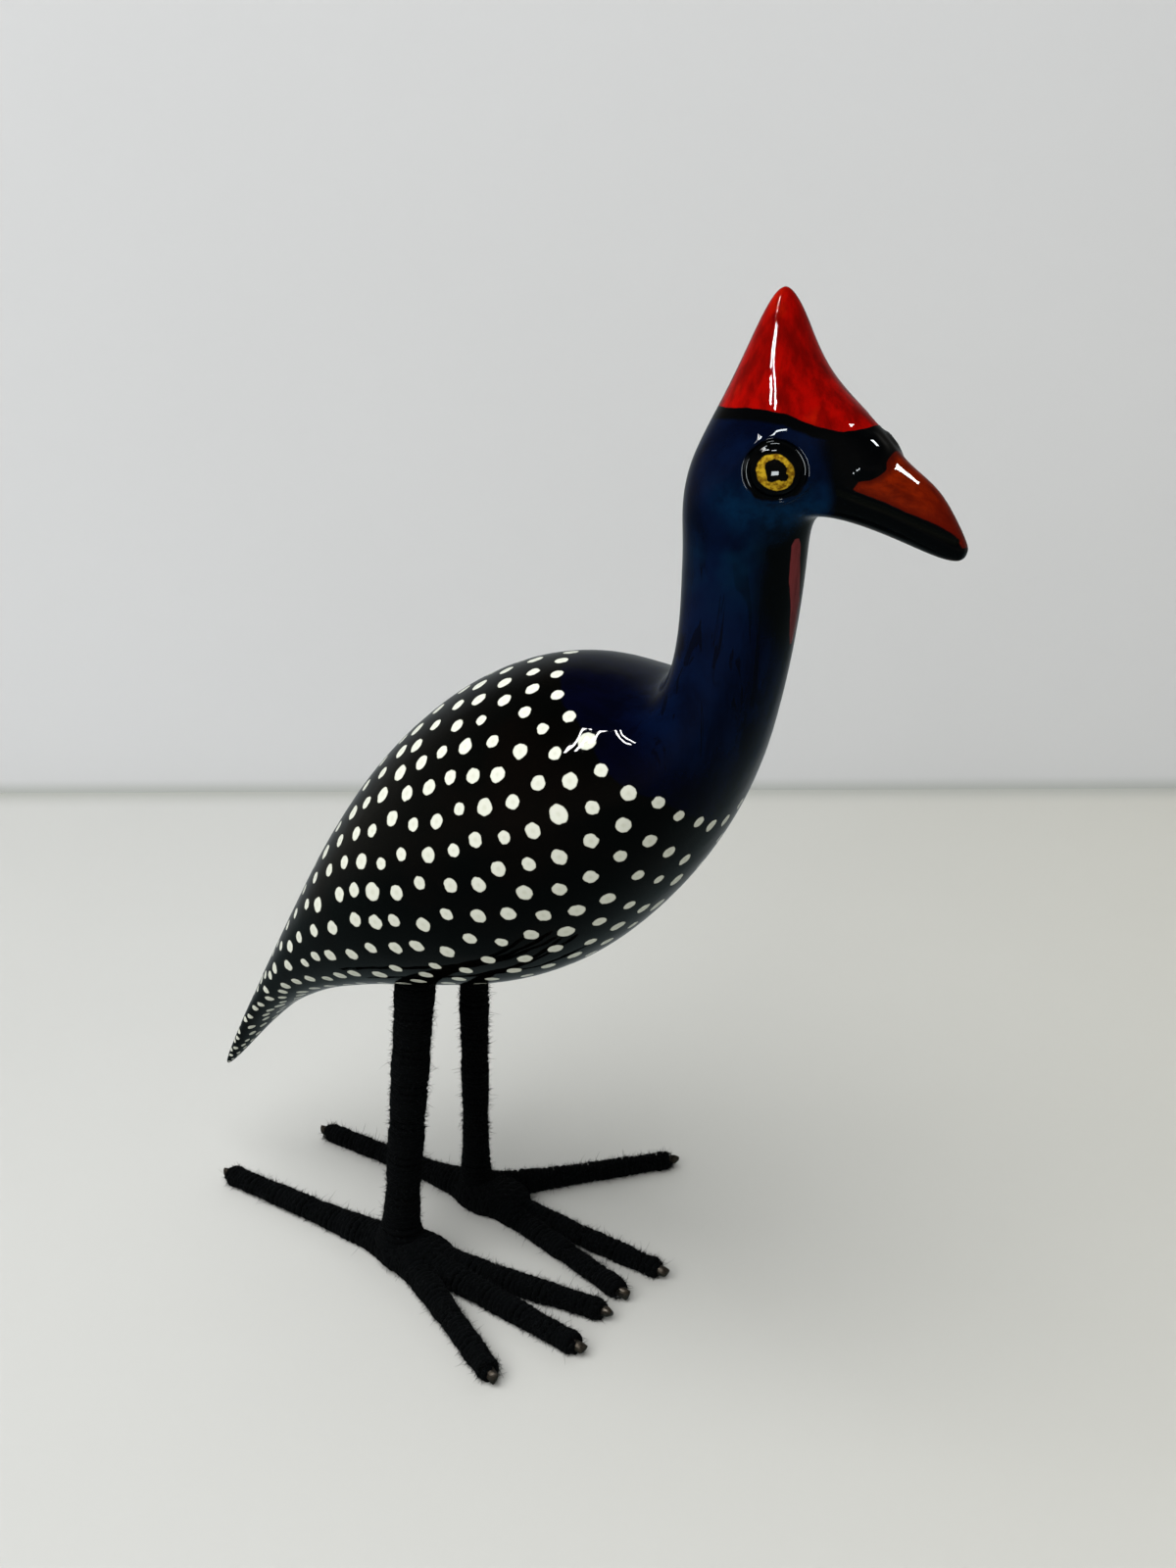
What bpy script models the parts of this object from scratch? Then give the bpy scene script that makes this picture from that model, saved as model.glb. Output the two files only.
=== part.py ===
"""A carved and lacquered guinea fowl standing on wire legs wrapped in yarn.

Metres, +Z up. The bird looks along +X, its left side is +Y, and it stands on z = 0.
The origin is the middle of the whole object's footprint box.
"""

import math

import bmesh
import bpy
from mathutils import Vector

MM = 0.001

# Driving sizes
HEIGHT = 200 * MM            # floor to the tip of the casque
FIT_GAP = 0.3 * MM           # clearance between pieces that touch
WIRE_RADIUS = 1.1 * MM       # steel wire of the legs and toes
SOCKET_DEPTH = 12 * MM       # how far the wire runs into the wood
YARN_SEAT_DEPTH = 3.5 * MM   # how far the wrapped leg runs into the wood
BARE_TIP = 2.6 * MM          # wire left bare at the end of each toe
FOOT_FLAT = 0.35 * MM        # yarn pressed flat under each toe
EYE_RADIUS = 5.2 * MM        # outer edge of the ring groove round the eye
EYE_GROOVE_DEPTH = 0.55 * MM
EYE_DOME_RISE = 0.5 * MM

# The carving keeps its proportions: its sections are in millimetres of a bird of CARVED_HEIGHT.
CARVED_HEIGHT = 200
CARVING = HEIGHT / CARVED_HEIGHT

SIDES = 12                   # control points round each section, from the back of the bird
SMOOTHING = 2                # subdivision level of the carving
FACES_KEPT = 0.70            # share of the smoothed faces kept where the surface is flat enough
FRONT = SIDES // 2           # index of a section's front point
EYE_SIDE = 4                 # index of the control point at the middle of the right eye

# Sections from tail to casque: name, back (x, z), front (x, z), half width, bulge towards the front
SECTIONS = (
    ("tail end", (-61.1, 28.2), (-58.9, 25.9), 2.4, 0.0),
    ("tail", (-47.5, 47.9), (-44.1, 43.4), 8.4, 0.1),
    ("rump", (-28.2, 77.8), (-18.2, 57.7), 19.2, 0.1),
    ("back", (-7.7, 110.6), (10.6, 64.3), 27.6, 0.1),
    ("shoulder", (17.2, 131.4), (37.0, 71.8), 30.5, 0.1),
    ("wing front", (40.4, 138.5), (57.9, 90.9), 27.6, 0.1),
    ("nape crease", (59.8, 132.7), (70.0, 111.2), 19.7, 0.1),
    ("neck base", (61.5, 141.9), (77.3, 129.6), 12.8, 0.0),
    ("neck", (60.7, 152.3), (80.9, 145.9), 10.4, 0.0),
    ("throat", (60.9, 159.2), (81.9, 159.4), 10.4, 0.0),
    ("jaw", (61.3, 165.1), (82.8, 165.9), 12.0, -0.12),
    ("eye", (62.7, 173.1), (91.1, 171.9), 12.6, -0.2),
    ("brow", (67.0, 181.8), (94.5, 179.6), 9.7, -0.12),
    ("casque", (70.7, 189.7), (84.7, 186.6), 6.3, 0.0),
    ("casque end", (74.2, 197.4), (80.6, 196.4), 3.2, 0.0),
)
TAIL_TIP = (-67.3, 17.8)
CASQUE_TIP = (77.2, 203.0)
JAW, EYE, BROW = 10, 11, 12  # the beak and the eyes lie between these sections

# Sections of the beak: upper (x, z), lower (x, z), half width
BEAK = (
    ((98.4, 174.3), (93.4, 163.8), 5.3),
    ((104.3, 171.0), (100.2, 161.6), 4.3),
    ((107.9, 165.8), (106.2, 159.6), 3.0),
    ((110.2, 161.8), (109.3, 159.5), 1.6),
)

# The eye's rings from the head inwards: share of the groove's radius, height over the head
EYE_PROFILE = (
    (1.14, 0.0),
    (1.0, 0.1 * MM),
    (0.92, -EYE_GROOVE_DEPTH),
    (0.8, -EYE_GROOVE_DEPTH),
    (0.68, 0.5 * EYE_DOME_RISE),
)

# The two legs: radius of the wrapped leg at the belly and at the foot, of a wrapped toe at its root
# and at its tip, the lengths of the toes, and their headings in degrees from straight ahead, positive
# to the left
RIGHT_LEG_RADII = (4.2 * MM, 3.5 * MM)
RIGHT_TOE_RADII = (2.75 * MM, 2.25 * MM)
RIGHT_TOE_LENGTHS = (48 * MM, 52 * MM, 50.5 * MM, 54 * MM)
RIGHT_TOE_HEADINGS = (-28, -6.5, 7.5, 179)
LEFT_LEG_RADII = (3.3 * MM, 2.75 * MM)
LEFT_TOE_RADII = (2.5 * MM, 2.1 * MM)
LEFT_TOE_LENGTHS = (51.5 * MM, 52.5 * MM, 49 * MM, 48.5 * MM)
LEFT_TOE_HEADINGS = (-15.5, -3, 50, 179)
LEGS = (
    ("right", -1, RIGHT_LEG_RADII, RIGHT_TOE_RADII, tuple(zip(RIGHT_TOE_LENGTHS, RIGHT_TOE_HEADINGS))),
    ("left", 1, LEFT_LEG_RADII, LEFT_TOE_RADII, tuple(zip(LEFT_TOE_LENGTHS, LEFT_TOE_HEADINGS))),
)
FOOT_SPREAD = 13.6 * MM      # from the middle plane to each ankle
LEG_TOP_FORWARD = 3.8 * MM   # the legs lean: where they enter the belly, ahead of the ankle
LEG_TOP_SPREAD = 9.8 * MM    # and from the middle plane
LEG_TOP_HEIGHT = 0.32 * HEIGHT
FOOT_PAD = (9.5 * MM, 6.8 * MM, 5 * MM)   # half sizes of the crossed yarn round the ankle
FOOT_PAD_FORWARD = 4 * MM
TOE_ROOT = 1 * MM            # how far the toes run past the ankle to cross under the leg
TOE_STACK = 0.12 * MM        # each toe leaves the ankle a little above the one before
TWIST = 0.17                 # each toe's flats are turned this share of a side from the last
FLOOR_DROP = 20 * MM         # depth of the block that presses the yarn flat under the feet

WIRE_SIDES = 8
YARN_SIDES = 12


def material(name, colour, roughness, metallic=0.0):
    """A plain Principled material."""
    made = bpy.data.materials.new(name)
    made.use_nodes = True
    shader = made.node_tree.nodes["Principled BSDF"]
    shader.inputs["Base Color"].default_value = (*colour, 1)
    shader.inputs["Roughness"].default_value = roughness
    shader.inputs["Metallic"].default_value = metallic
    return made


def link(name, bm, finish=None, parent=None):
    """Turns a bmesh into a named object in the scene."""
    bmesh.ops.recalc_face_normals(bm, faces=bm.faces)
    mesh = bpy.data.meshes.new(name)
    bm.to_mesh(mesh)
    bm.free()
    made = bpy.data.objects.new(name, mesh)
    bpy.context.scene.collection.objects.link(made)
    made.parent = parent
    if finish:
        mesh.materials.append(finish)
    return made


def hide_guide(guide):
    """Marks an object as a cutter that isn't part of the model."""
    guide.hide_render = True
    guide.display_type = "WIRE"
    return guide


def boolean(target, other, operation):
    """Adds an exact Boolean modifier with a hidden second object."""
    modifier = target.modifiers.new(other.name, "BOOLEAN")
    modifier.operation = operation
    modifier.solver = "EXACT"
    modifier.object = hide_guide(other)


def carved(x, z, y=0.0):
    """A point of the carving, given in millimetres of the 200 mm bird."""
    return Vector((x, y, z)) * CARVING


def surface_share(count):
    """How far the smooth surface lies inside a ring of count control points, as a share of its radius."""
    return (4 + 2 * math.cos(2 * math.pi / count)) / 6


def oval(back, front, half_width, count, bulge=0.0):
    """Control points of one oval section, starting at its back and going round the bird's right side."""
    middle = (back + front) / 2
    reach = (back - front) / 2
    spread = 1 / surface_share(count)
    points = []
    for k in range(count):
        turn = 2 * math.pi * k / count
        side = math.sin(turn)
        along = math.cos(turn) - bulge * side * side
        points.append(middle + (reach * along + Vector((0, -half_width * side, 0))) * spread)
    return points


def add_ring(bm, points):
    return [bm.verts.new(p) for p in points]


def bridge(bm, ring, following, skip=()):
    """Faces between two rings of the same count, leaving out the sides in skip."""
    count = len(ring)
    for k in range(count):
        if k not in skip:
            after = (k + 1) % count
            bm.faces.new((ring[k], ring[after], following[after], following[k]))


def cap(bm, ring, point):
    """Closes a ring with four-sided faces that meet at one point."""
    centre = bm.verts.new(point)
    count = len(ring)
    for k in range(0, count, 2):
        bm.faces.new((ring[k], ring[(k + 1) % count], ring[(k + 2) % count], centre))


def opening(rings, centre):
    """The eight control points round the middle one of three neighbouring sections, top first."""
    lower, middle, upper = rings
    return [upper[centre], upper[centre - 1], middle[centre - 1], lower[centre - 1],
            lower[centre], lower[centre + 1], middle[centre + 1], upper[centre + 1]]


def add_beak(bm, rings):
    """Draws the beak out of the opening in the front of the head."""
    ring = opening(rings, FRONT)
    for upper, lower, half_width in BEAK:
        following = add_ring(bm, oval(carved(*upper), carved(*lower), half_width * CARVING, len(ring)))
        bridge(bm, ring, following)
        ring = following
    cap(bm, ring, sum((v.co for v in ring), Vector()) / len(ring))


def add_eye(bm, rings, index):
    """Turns a ring groove and a dome into the side of the head, round one control point."""
    edge = [v.co for v in opening(rings, index)]
    centre = (rings[1][index].co * 16 + sum(edge[0::2], Vector()) * 4 + sum(edge[1::2], Vector())) / 36
    upward = (edge[0] - edge[4]).normalized()
    outward = (edge[6] - edge[2]).cross(upward).normalized()
    onward = outward.cross(upward)
    bm.verts.remove(rings[1][index])
    ring = opening(rings, index)
    for share, lift in EYE_PROFILE:
        radius = EYE_RADIUS * share / surface_share(len(ring))
        following = []
        for k, corner in enumerate(edge):
            turn = 2 * math.pi * k / len(edge)
            aim = upward * math.cos(turn) + onward * math.sin(turn)
            offset = corner - centre
            fall = offset.dot(outward)
            reach = (offset - outward * fall).length
            following.append(centre + aim * radius + outward * (fall * (radius / reach) ** 2 + lift))
        following = add_ring(bm, following)
        bridge(bm, ring, following)
        ring = following
    cap(bm, ring, centre + outward * EYE_DOME_RISE * 1.5)


def carving(parent):
    """The bird: one skin through the sections, with the beak and the eyes worked into the head."""
    bm = bmesh.new()
    rings = []
    for name, back, front, half_width, bulge in SECTIONS:
        points = oval(carved(*back), carved(*front), half_width * CARVING, SIDES, bulge)
        rings.append(add_ring(bm, points))
    for number, (ring, following) in enumerate(zip(rings, rings[1:])):
        skip = ()
        if JAW <= number < BROW:
            skip = (FRONT - 1, FRONT)
            for side in (EYE_SIDE, SIDES - EYE_SIDE):
                skip += (side - 1, side)
        bridge(bm, ring, following, skip)
    cap(bm, rings[0], carved(*TAIL_TIP))
    cap(bm, rings[-1], carved(*CASQUE_TIP))
    head = rings[JAW:BROW + 1]
    for side in (EYE_SIDE, SIDES - EYE_SIDE):
        add_eye(bm, head, side)
    bm.verts.remove(head[1][FRONT])
    add_beak(bm, head)
    paint = material("lacquered_wood", (0.01, 0.012, 0.03), 0.12)
    bird = link("carved_bird", bm, paint, parent)
    smooth = bird.modifiers.new("smooth", "SUBSURF")
    smooth.levels = smooth.render_levels = SMOOTHING
    thin = bird.modifiers.new("thin", "DECIMATE")
    thin.ratio = FACES_KEPT
    thin.use_symmetry = True
    thin.symmetry_axis = "Y"
    return bird


def tube(bm, start, end, start_radius, end_radius, sides, twist=0.0):
    """A closed straight tube, its flats turned by a share of one side."""
    aim = (end - start).normalized()
    level = Vector((0, 1, 0)) if abs(aim.z) > 0.7 else Vector((0, 0, 1))
    across = aim.cross(level).normalized()
    over = across.cross(aim)
    ends = []
    for point, radius in ((start, start_radius), (end, end_radius)):
        ring = []
        for k in range(sides):
            turn = 2 * math.pi * (k + twist) / sides
            ring.append(bm.verts.new(point + (across * math.cos(turn) + over * math.sin(turn)) * radius))
        ends.append(ring)
    bridge(bm, ends[0], ends[1])
    bm.faces.new(ends[0])
    bm.faces.new(ends[1])


def ball(bm, centre, half_sizes):
    """A round or oval ball."""
    made = bmesh.ops.create_uvsphere(bm, u_segments=16, v_segments=10, radius=1)
    for v in made["verts"]:
        v.co = centre + Vector([v.co[i] * half_sizes[i] for i in range(3)])


def block(bm, low, high):
    """A box between two opposite corners."""
    made = bmesh.ops.create_cube(bm, size=1)
    for v in made["verts"]:
        v.co = Vector([low[i] if v.co[i] < 0 else high[i] for i in range(3)])


def solid(name, draw, *sizes):
    """One drawn solid that another solid is joined with or cut by."""
    bm = bmesh.new()
    draw(bm, *sizes)
    return link(name, bm, parent=root)


def joined(name, finish, pieces):
    """One solid made of several that overlap."""
    first = pieces[0]
    first.name = first.data.name = name
    first.data.materials.append(finish)
    for other in pieces[1:]:
        boolean(first, other, "UNION")
    return first


def leg_geometry(side, toe_radii, toes):
    """The ankle, the point where the leg enters the belly, its direction, and the tracks of its toes."""
    ankle = Vector((0, side * FOOT_SPREAD, toe_radii[0] - FOOT_FLAT))
    entry = Vector((LEG_TOP_FORWARD, side * LEG_TOP_SPREAD, LEG_TOP_HEIGHT))
    tracks = []
    for k, (length, heading) in enumerate(toes):
        turn = math.radians(heading)
        aim = Vector((math.cos(turn), math.sin(turn), 0))
        start = ankle - aim * TOE_ROOT * (1 + k / 4) + Vector((0, 0, TOE_STACK * k))
        tip = ankle + aim * length
        tip.z = toe_radii[1] - FOOT_FLAT
        tracks.append((start, (tip - start).normalized(), tip))
    return ankle, entry, (entry - ankle).normalized(), tracks


def wire_frame(name, finish, gap, side, toe_radii, toes):
    """The wire of one leg: its shank and toes. With a gap it is the room the wire needs in the yarn."""
    ankle, entry, up, tracks = leg_geometry(side, toe_radii, toes)
    radius = WIRE_RADIUS + gap
    reach = SOCKET_DEPTH + (SOCKET_DEPTH if gap else 0)
    extra = BARE_TIP if gap else 0
    pieces = [solid(name + "_shank", tube, ankle, entry + up * reach, radius, radius, WIRE_SIDES)]
    for k, (start, aim, tip) in enumerate(tracks):
        end = tip + aim * extra
        twist = TWIST * (k + 1)
        pieces.append(solid(f"{name}_toe_{k}", tube, start, end, radius, radius, WIRE_SIDES, twist))
    knuckle = radius + 0.25 * MM
    pieces.append(solid(name + "_knuckle", ball, ankle, (knuckle, knuckle, knuckle)))
    return joined(name, finish, pieces)


def yarn_wrap(name, finish, side, leg_radii, toe_radii, toes):
    """The yarn of one leg: round the shank, round each toe and crossed round the ankle."""
    ankle, entry, up, tracks = leg_geometry(side, toe_radii, toes)
    top = entry + up * YARN_SEAT_DEPTH
    pieces = [solid(name + "_shank", tube, ankle, top, leg_radii[1], leg_radii[0], YARN_SIDES)]
    for k, (start, aim, tip) in enumerate(tracks):
        end = tip - aim * BARE_TIP
        twist = TWIST * (k + 1)
        pieces.append(solid(f"{name}_toe_{k}", tube, start, end, *toe_radii, YARN_SIDES, twist))
    pad = ankle + Vector((FOOT_PAD_FORWARD, 0, 0))
    pieces.append(solid(name + "_pad", ball, pad, FOOT_PAD))
    wrap = joined(name, finish, pieces)
    low = Vector((-HEIGHT, -HEIGHT, -FLOOR_DROP))
    boolean(wrap, solid(name + "_floor", block, low, Vector((HEIGHT, HEIGHT, 0))), "DIFFERENCE")
    room = wire_frame(name + "_room", finish, FIT_GAP, side, toe_radii, toes)
    boolean(wrap, room, "DIFFERENCE")
    return wrap


def socket(bird, side, leg_radii, toe_radii, toes):
    """Cuts the seat of a wrapped leg and the deeper hole of its wire into the belly."""
    ankle, entry, up, tracks = leg_geometry(side, toe_radii, toes)
    below = entry - up * SOCKET_DEPTH
    seat_end = entry + up * (YARN_SEAT_DEPTH + FIT_GAP)
    hole_end = entry + up * (SOCKET_DEPTH + FIT_GAP)
    label = "left" if side > 0 else "right"
    radius = leg_radii[0] + FIT_GAP
    boolean(bird, solid(label + "_seat", tube, below, seat_end, radius, radius, YARN_SIDES), "DIFFERENCE")
    radius = WIRE_RADIUS + FIT_GAP
    boolean(bird, solid(label + "_hole", tube, entry, hole_end, radius, radius, WIRE_SIDES), "DIFFERENCE")


def centre_on_floor(pieces):
    """Moves the model so the origin is the middle of its footprint."""
    depsgraph = bpy.context.evaluated_depsgraph_get()
    points = []
    for piece in pieces:
        shape = piece.evaluated_get(depsgraph)
        points += [piece.matrix_world @ v.co for v in shape.data.vertices]
    for axis in (0, 1):
        values = [p[axis] for p in points]
        root.location[axis] = -(min(values) + max(values)) / 2


for old in list(bpy.data.objects):
    bpy.data.objects.remove(old)
root = bpy.data.objects.new("guinea_fowl", None)
bpy.context.scene.collection.objects.link(root)

steel = material("steel_wire", (0.55, 0.55, 0.56), 0.35, 1.0)
wool = material("black_wool", (0.008, 0.008, 0.009), 0.95)
bird = carving(root)
pieces = [bird]
for label, side, leg_radii, toe_radii, toes in LEGS:
    pieces.append(wire_frame(label + "_leg_wire", steel, 0, side, toe_radii, toes))
    pieces.append(yarn_wrap(label + "_leg_yarn", wool, side, leg_radii, toe_radii, toes))
    socket(bird, side, leg_radii, toe_radii, toes)
for piece in pieces:
    piece.hide_render = False
    piece.display_type = "TEXTURED"
    piece.data.shade_smooth()
    piece.data.set_sharp_from_angle(angle=math.radians(40))
centre_on_floor(pieces)
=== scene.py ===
"""A carved, painted and lacquered guinea fowl on wire legs wound with black wool yarn.

Metres, +Z up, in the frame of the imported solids. The bird looks along +X and its left side is +Y.
Sizes of the bird's own shape and paint are in millimetres, measured from the point on the floor
midway between its ankles.
"""

import math
import random

import bmesh
import bpy
import numpy as np
from mathutils import Euler, Matrix, Vector, kdtree, noise


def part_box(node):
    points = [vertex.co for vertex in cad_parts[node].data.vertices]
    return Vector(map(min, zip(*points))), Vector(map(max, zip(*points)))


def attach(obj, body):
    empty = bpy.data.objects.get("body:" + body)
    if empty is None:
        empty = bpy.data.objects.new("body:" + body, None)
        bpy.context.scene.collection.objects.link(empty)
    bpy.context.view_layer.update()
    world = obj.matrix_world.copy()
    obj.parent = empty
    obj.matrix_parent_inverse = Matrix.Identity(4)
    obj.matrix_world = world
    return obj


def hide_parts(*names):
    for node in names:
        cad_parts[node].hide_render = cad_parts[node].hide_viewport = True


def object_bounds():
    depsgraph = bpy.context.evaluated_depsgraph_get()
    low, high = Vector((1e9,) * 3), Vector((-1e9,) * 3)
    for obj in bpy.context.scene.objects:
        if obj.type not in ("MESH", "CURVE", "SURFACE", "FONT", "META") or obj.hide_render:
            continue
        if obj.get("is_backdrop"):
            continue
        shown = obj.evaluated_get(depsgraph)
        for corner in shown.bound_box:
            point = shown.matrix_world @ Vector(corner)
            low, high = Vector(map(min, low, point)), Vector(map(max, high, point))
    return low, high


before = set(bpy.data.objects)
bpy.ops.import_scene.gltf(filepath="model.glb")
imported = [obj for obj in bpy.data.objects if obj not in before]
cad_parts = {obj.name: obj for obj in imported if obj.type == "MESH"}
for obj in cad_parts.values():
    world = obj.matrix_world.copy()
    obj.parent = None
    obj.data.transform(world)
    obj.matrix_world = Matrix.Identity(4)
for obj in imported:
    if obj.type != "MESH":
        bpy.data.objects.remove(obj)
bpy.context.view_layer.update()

MM = 0.001
UP = Vector((0, 0, 1))

# The carving's control sections

SIDES = 12  # control points round each section, from the back of the bird
FRONT = SIDES // 2  # index of a section's front point
EYE_SIDE = 4  # index of the control point at the middle of the right eye
SMOOTHING = 4  # subdivision level of the carving
EYE_RADIUS = 5.2  # outer edge of the ring groove round the eye
EYE_GROOVE_DEPTH = 0.55
EYE_DOME_RISE = 0.5
LAYERS = "station", "cosine", "sine"  # stored on the skin: place along the bird, and angle round it

# Sections from tail to casque: back (x, z), front (x, z), half width, bulge towards the front
SECTIONS = (
    ((-61.1, 28.2), (-58.9, 25.9), 2.4, 0),
    ((-47.5, 47.9), (-44.1, 43.4), 8.4, 0.1),
    ((-28.2, 77.8), (-18.2, 57.7), 19.2, 0.1),
    ((-7.7, 110.6), (10.6, 64.3), 27.6, 0.1),
    ((17.2, 131.4), (37, 71.8), 30.5, 0.1),
    ((40.4, 138.5), (57.9, 90.9), 27.6, 0.1),
    ((59.8, 132.7), (70, 111.2), 19.7, 0.1),
    ((61.5, 141.9), (77.3, 129.6), 12.8, 0),
    ((60.7, 152.3), (80.9, 145.9), 10.4, 0),
    ((60.9, 159.2), (81.9, 159.4), 10.4, 0),
    ((61.3, 165.1), (82.8, 165.9), 12, -0.12),
    ((62.7, 173.1), (91.1, 171.9), 12.6, -0.2),
    ((67, 181.8), (94.5, 179.6), 9.7, -0.12),
    ((70.7, 189.7), (84.7, 186.6), 6.3, 0),
    ((74.2, 197.4), (80.6, 196.4), 3.2, 0),
)
TAIL_TIP = (-67.3, 17.8)
CASQUE_TIP = (77.2, 203)
JAW, BROW = 10, 12  # the sections below and above the eye

# Sections of the beak: upper (x, z), lower (x, z), half width
BEAK = (
    ((98.4, 174.3), (93.4, 163.8), 5.3),
    ((104.3, 171), (100.2, 161.6), 4.3),
    ((107.9, 165.8), (106.2, 159.6), 3),
    ((110.2, 161.8), (109.3, 159.5), 1.6),
)

# The eye's rings from the head inwards: share of the groove's radius, height over the head
EYE_PROFILE = (
    (1.1, 0),
    (1, 0.1),
    (0.92, -EYE_GROOVE_DEPTH),
    (0.8, -EYE_GROOVE_DEPTH),
    (0.68, 0.5 * EYE_DOME_RISE),
)

# The bird's relief and paint

# Outlines on the side of the head as (x, z), the same on both sides
NOSTRIL_LOBE = (
    (92.2, 178.6), (92.2, 175.5), (93.2, 172.9), (94.8, 171.8), (96.3, 172.3), (97.3, 173.4), (97.5, 175),
    (96.8, 177), (94.8, 178.8),
)
BEAK_HORN = (
    (97.6, 176.6), (97.3, 174.4), (97.6, 173.2), (96.7, 172.3), (95.4, 171.6), (93.6, 171.3),
    (92.9, 170.1), (95.2, 169.3), (98, 168.5), (101.8, 167), (104.8, 165.9), (107, 164.9), (108.6, 163.7),
    (109.6, 161.9), (113, 161), (116, 172), (104, 182),
)
FACE_MASK = (
    (87.9, 181), (88.3, 175), (88.6, 171.5), (89.2, 168.5), (88.9, 166), (87.5, 164), (92, 158),
    (120, 150), (120, 185), (95, 185),
)
THROAT = (
    (78.9, 166), (78.3, 160), (78.1, 151.8), (78.4, 146.7), (79.6, 141.5), (80.6, 136.5), (95, 136),
    (95, 164.6), (84, 166),
)
CASQUE_EDGE = (
    (60, 181.4), (67, 181.6), (74, 182), (78, 182), (82.3, 181.5), (85.3, 180.4), (88.4, 179.3),
    (90.8, 178.8), (92.5, 179.1), (94.5, 179.8), (100, 180),
)
BAND_WIDTH = 1.75  # black band under the red of the casque
MOUTH = ((90.6, 169.5), (94.5, 168.3), (97.6, 167.4), (101.5, 166), (105.2, 164.5), (108.6, 162.9))
MOUTH_DEPTH, MOUTH_WIDTH = 0.3, 0.95
LOBE_RISE = 0.6
BEAK_FLATTENING = 0.22  # how far the sides of the beak lie inside an oval's
# Tool marks that show under the lacquer: (height, wavelength, seed)
TOOL_MARKS = ((0.11, 13, 1), (0.02, 4.2, 2))
HEAD_BASE = 155  # what is higher belongs to the head
DOT_CEILING = 150  # the dots and the collar stay below this height
DOT_STATIONS = (-0.8, 6.6)  # and between these stations
FAR_OUTSIDE = -9  # stored where an area can't reach
BLOCK = 8192  # points that are compared with all dots at once
# The red stripe down the front of the throat: (y, z, half width)
WATTLE = (
    (-2.1, 161.2, 0.5), (-2, 160, 1.15), (-1.2, 154.5, 1.6), (0.4, 149, 1.7), (1.2, 144.5, 1.3),
    (1.5, 142.6, 0.4),
)

# Where the black of the body meets the navy of the breast: (angle round from the back, station)
COLLAR = (
    (0, 4.86), (19, 4.96), (30, 5.07), (39, 5.17), (48, 5.36), (58, 5.5), (73, 5.62), (91, 5.82),
    (112, 6.03), (132, 6.05), (151, 6.02), (172, 5.93), (180, 5.9),
)
COLLAR_SLOPE = 16  # millimetres that one station is taken for across the collar's edge

# Dots in ranks that follow the collar back to the tail
LAST_RANK = -0.75  # station where they end
# (station, distance from dot to dot)
DOT_SPACING = ((-0.6, 1.8), (0, 2.9), (1, 4.3), (2, 5.9), (3, 7), (4.6, 6.9), (6.5, 5.3))
RANK_STEP = 0.88  # from rank to rank, as a share of the spacing
EVEN_SHARE = 0.97  # share of the spacing that neighbouring dots keep
EVEN_ROUNDS, EVEN_PUSH = 20, 0.3  # steps of moving crowded dots apart, and share mended in each
DOT_CLEARANCE = 1.25  # dots nearer than this share of their two radii are left out
BIG_DOTS = (0.07, 1.25)  # share of the dots that are bigger, and by how much
STATION_LENGTH = 22  # of one station along the body, in the mean
SEARCH_SCALE = 3  # of the coordinates in which a place on the skin is looked up
# (station, radius)
DOT_RADII = ((-0.5, 0.36), (0, 0.58), (1, 0.88), (2, 1.16), (3, 1.34), (4.5, 1.38), (6.5, 1.16))
# (x, length of a dot along the body as a share of its width)
DOT_LENGTH = ((-60, 1.3), (0, 1.25), (30, 1.06), (50, 1))
BODY_AIM = (0.88, 0, 0.47)  # from tail to breast
SEED = 41

# Paints and other colours, as (darkest, lightest) where there are two
NAVY = (0.0002, 0.0014, 0.0085), (0.0006, 0.0042, 0.021)
DEEP_BLUE = (0.0002, 0.0004, 0.0026), (0.0004, 0.0007, 0.0065)
DRIP = (0.0002, 0.0007, 0.0035)
TEAL = (0.0008, 0.017, 0.043)
CHEEK_BLUE = (0.0007, 0.017, 0.052)
BODY_BLACK = (0.0004, 0.0006, 0.0005), (0.0014, 0.0009, 0.0006)
THROAT_BLACK = (0.0006, 0.0011, 0.0014)
FACE_BLACK = (0.0004, 0.0006, 0.0009)
PUPIL_BLACK = (0.0015, 0.0013, 0.001)
MOUTH_BLACK = (0.0016, 0.0019, 0.0014)
RED = (0.13, 0.0006, 0.0002), (0.33, 0.0014, 0.0003)
BRIGHT_RED = (0.4, 0.008, 0.0006)
WATTLE_RED = (0.1, 0.013, 0.014), (0.19, 0.032, 0.034)
HORN = (0.055, 0.0028, 0.0004), (0.21, 0.014, 0.0006)
HORN_EDGE = (0.05, 0.0022, 0.0004)
HORN_ROOT = (0.09, 0.0035, 0.0008)
CHIN_BROWN = (0.02, 0.0028, 0.0008)
IRIS = (0.17, 0.08, 0.003), (0.56, 0.36, 0.018)
DOT_WHITE = (0.67, 0.69, 0.58), (0.75, 0.77, 0.68)
DOT_RIM = (0.61, 0.63, 0.53)
DOT_DULL = (0.54, 0.55, 0.45)
WOOL = (0.0006, 0.0008, 0.0009), (0.0028, 0.0034, 0.0037)
WOOL_PATCH = (0.0017, 0.0021, 0.0025)
WOOL_SHEEN = (0.5, 0.56, 0.6)
FIBRE = (0.002, 0.0024, 0.0026), (0.009, 0.0105, 0.0115)
STEEL = (0.07, 0.058, 0.045), (0.17, 0.15, 0.125)
STEEL_STAIN = (0.1, 0.07, 0.045)


def carved(x, z):
    return Vector((x, 0, z))


def linked(name, data):
    """A new object of the scene for the data."""
    made = bpy.data.objects.new(name, data)
    bpy.context.scene.collection.objects.link(made)
    return made


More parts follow.
